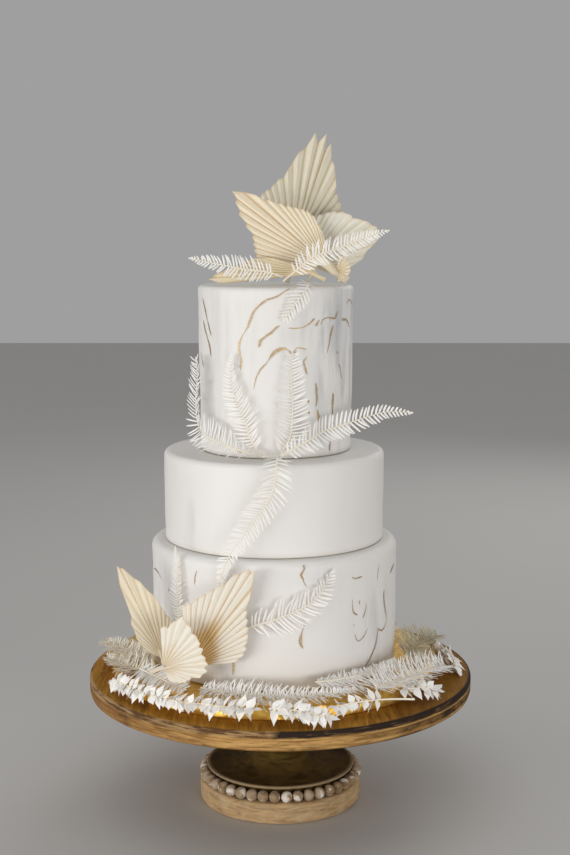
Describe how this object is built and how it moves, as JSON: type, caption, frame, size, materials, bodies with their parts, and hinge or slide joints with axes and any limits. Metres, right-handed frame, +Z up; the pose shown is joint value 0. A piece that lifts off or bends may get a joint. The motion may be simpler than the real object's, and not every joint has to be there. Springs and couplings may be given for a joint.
{
  "type": "tiered wedding cake",
  "caption": "Round stacked wedding cake with pale icing, marbled veins and dried palm and fern leaves, on a wooden pedestal stand with a beaded foot.",
  "frame": {"origin": "on the floor, at the axis of the stand", "axes": "+Z up through the tiers; -Y is the front of the cake, +X to the right seen from the front"},
  "size_m": [0.3996, 0.3996, 0.6954],
  "materials": {
    "fondant": "satin sugar paste with grey marbling and fine gold veins",
    "gold_foil": "embossed gold foil",
    "plate_wood": "oiled planks with a scorched rim",
    "foot_wood": "dark oiled",
    "base_wood": "grey washed",
    "bead_wood": "white washed and worn",
    "palm": "dried and pleated, matte",
    "fern": "bleached and dried, matte",
    "sprig": "bleached and dried, matte"
  },
  "bodies": {
    "root": {"stand_base": "base_wood", "bead_ring": "bead_wood", "stand_foot": "foot_wood", "stand_column": "foot_wood", "stand_top": "plate_wood", "cake_board": "gold_foil", "tier_bottom": "fondant", "tier_middle": "fondant", "tier_top": "fondant", "palm_tall": "palm", "palm_left": "palm", "palm_right": "palm", "palm_small": "palm", "palm_low": "palm", "palm_back": "palm", "palm_mid": "palm", "palm_front": "palm", "fern_top_left": "fern", "fern_top_right": "fern", "fern_rim": "fern", "fern_side_left": "fern", "fern_up_left": "fern", "fern_up_right": "fern", "fern_side_right": "fern", "fern_trailing": "fern", "fern_behind_palms": "fern", "fern_bottom_front": "fern", "fern_board_left": "fern", "fern_board_low": "fern", "fern_board_comb": "fern", "fern_board_front": "fern", "fern_board_needles": "fern", "fern_board_right": "fern", "fern_board_curved": "fern", "fern_back_right": "fern", "fern_back_middle": "fern", "fern_back_left": "fern", "sprig_left": "sprig", "sprig_front": "sprig", "sprig_right": "sprig", "sprig_right_end": "sprig", "sprig_far_right": "sprig", "sprig_back_right": "sprig", "sprig_back_left": "sprig"}
  },
  "joints": []
}
